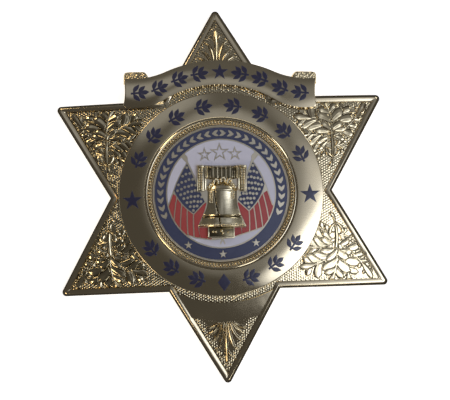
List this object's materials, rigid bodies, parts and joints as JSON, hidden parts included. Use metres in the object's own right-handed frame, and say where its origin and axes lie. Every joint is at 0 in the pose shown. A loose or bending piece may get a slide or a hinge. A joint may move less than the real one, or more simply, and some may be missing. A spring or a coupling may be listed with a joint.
{
  "type": "six-point star badge",
  "caption": "Domed six-point star badge with leaf relief, ribbon banner, crowned ring panel, enamel sprigs, and an enamel seal with a bell, with a brooch pin behind.",
  "frame": {"origin": "centre of the star in plan, on the surface that the six tips rest on", "axes": "+Z out of the badge's face, +Y towards the upper point, where the banner is, +X to the viewer's right"},
  "size_m": [0.0662, 0.0762, 0.0091],
  "materials": {
    "gold_plate": "polished gold plate on struck brass",
    "gold_rope": "polished gold plate, milled",
    "gold_seal": "polished gold plate",
    "gold_bell": "polished gold plate, in relief",
    "white_enamel": "glossy hard enamel",
    "red_enamel": "glossy hard enamel",
    "seal_blue_enamel": "glossy hard enamel",
    "navy_enamel": "glossy hard enamel",
    "nickel_pin": "nickel-plated steel"
  },
  "bodies": {
    "root": {"star_body": "gold_plate", "rope_bezel": "gold_rope", "seal_disc": "gold_seal", "bell": "gold_bell", "ring_enamel": "seal_blue_enamel", "field_top": "white_enamel", "field_low": "white_enamel", "field_left": "white_enamel", "field_right": "white_enamel", "canton_left": "seal_blue_enamel", "canton_right": "seal_blue_enamel", "field_star_1": "white_enamel", "field_star_2": "white_enamel", "field_star_3": "white_enamel", "stripe_left_1": "red_enamel", "stripe_left_2": "red_enamel", "stripe_left_3": "red_enamel", "stripe_left_4": "red_enamel", "stripe_left_5": "red_enamel", "stripe_left_6": "red_enamel", "stripe_right_1": "red_enamel", "stripe_right_2": "red_enamel", "stripe_right_3": "red_enamel", "stripe_right_4": "red_enamel", "stripe_right_5": "red_enamel", "stripe_right_6": "red_enamel", "upper_sprig_1": "navy_enamel", "upper_sprig_2": "navy_enamel", "upper_sprig_3": "navy_enamel", "upper_sprig_4": "navy_enamel", "upper_sprig_5": "navy_enamel", "upper_sprig_6": "navy_enamel", "upper_sprig_7": "navy_enamel", "upper_sprig_8": "navy_enamel", "lower_sprig_1": "navy_enamel", "lower_sprig_2": "navy_enamel", "lower_sprig_3": "navy_enamel", "lower_sprig_4": "navy_enamel", "lower_sprig_5": "navy_enamel", "lower_sprig_6": "navy_enamel", "lower_lozenge": "navy_enamel", "side_star_left": "navy_enamel", "side_star_right": "navy_enamel", "banner_sprig_1": "navy_enamel", "banner_sprig_2": "navy_enamel", "banner_sprig_3": "navy_enamel", "banner_sprig_4": "navy_enamel", "banner_sprig_5": "navy_enamel", "banner_sprig_6": "navy_enamel", "banner_sprig_7": "navy_enamel", "banner_sprig_8": "navy_enamel", "banner_star": "navy_enamel", "pin_back": "nickel_pin"}
  },
  "joints": []
}
